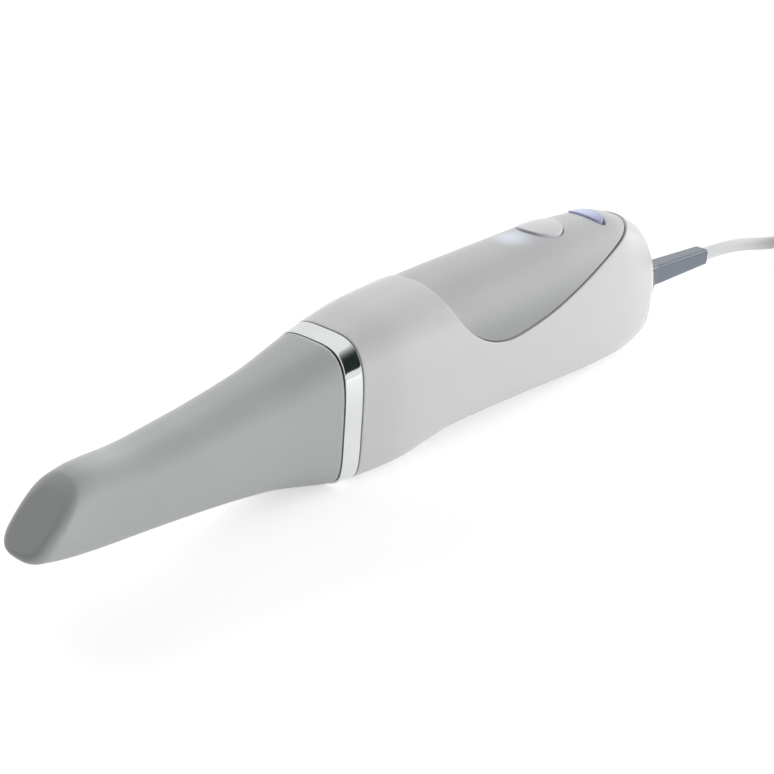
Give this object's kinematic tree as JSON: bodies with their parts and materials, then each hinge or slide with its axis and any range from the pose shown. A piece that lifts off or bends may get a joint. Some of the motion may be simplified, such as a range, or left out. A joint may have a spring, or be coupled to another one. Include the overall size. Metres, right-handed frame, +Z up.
{
  "type": "intraoral scanner",
  "caption": "Hand-held intraoral scanner with a slim pull-off mirror tip, chrome ring, two-piece grip, two buttons and a tied cable with a flat plug.",
  "frame": {"origin": "on the floor, under the middle of the scanner's box without its cable", "axes": "-X towards the tip, +X towards the cable, +Z up, buttons on top"},
  "size_m": [0.3747, 0.068, 0.0434],
  "materials": {
    "tip_grey": "satin moulded",
    "mirror": "polished",
    "glass": "coated",
    "black_plastic": "fine matt",
    "chrome": "polished",
    "white_shell": "glossy moulded",
    "grey_cover": "satin lacquer",
    "button_white": "glossy",
    "button_blue": "translucent",
    "light_clear": "clear",
    "circuit_board": "solder mask",
    "steel": "plated",
    "aluminium": "machined",
    "ivory_plastic": "moulded",
    "boot_grey": "smooth elastomer",
    "cable_white": "smooth jacket",
    "plug_white": "overmould"
  },
  "bodies": {
    "handpiece": {"nose_window": "glass", "lens_glasses": "glass", "nose_barrel": "black_plastic", "camera_block": "black_plastic", "projector_block": "black_plastic", "camera_lens": "black_plastic", "projector_lens": "black_plastic", "scan_switch": "black_plastic", "mode_switch": "black_plastic", "cable_ties": "black_plastic", "trim_ring": "chrome", "main_shell": "white_shell", "top_cover": "grey_cover", "status_led": "light_clear", "light_guide": "light_clear", "button_board": "circuit_board", "main_board": "circuit_board", "button_board_screws": "steel", "main_board_screws": "steel", "bench_screws": "steel", "processor_shield": "steel", "plug_shell": "steel", "optical_bench": "aluminium", "heat_sink": "aluminium", "cable_socket": "ivory_plastic", "plug_tongue": "ivory_plastic", "strain_relief": "boot_grey", "inner_lead": "cable_white", "cable_tube": "cable_white", "cable_coil": "cable_white", "cable_tail": "cable_white", "plug_body": "plug_white"},
    "tip": {"tip_shell": "tip_grey", "tip_mirror": "mirror"},
    "scan_button": {"scan_button": "button_white"},
    "mode_button": {"mode_button": "button_blue"}
  },
  "joints": [
    {"name": "tip_slide", "type": "slide", "parent": "handpiece", "child": "tip", "axis": [-0.9954, 0, 0.0958], "range_m": [0, 0.045]},
    {"name": "scan_button_press", "type": "slide", "parent": "handpiece", "child": "scan_button", "axis": [-0.0958, 0, -0.9954], "range_m": [0, 0.0006], "stiffness_N_per_m": 400, "springref_m": -0.0005},
    {"name": "mode_button_press", "type": "slide", "parent": "handpiece", "child": "mode_button", "axis": [-0.0958, 0, -0.9954], "range_m": [0, 0.0006], "stiffness_N_per_m": 400, "springref_m": -0.0005}
  ]
}
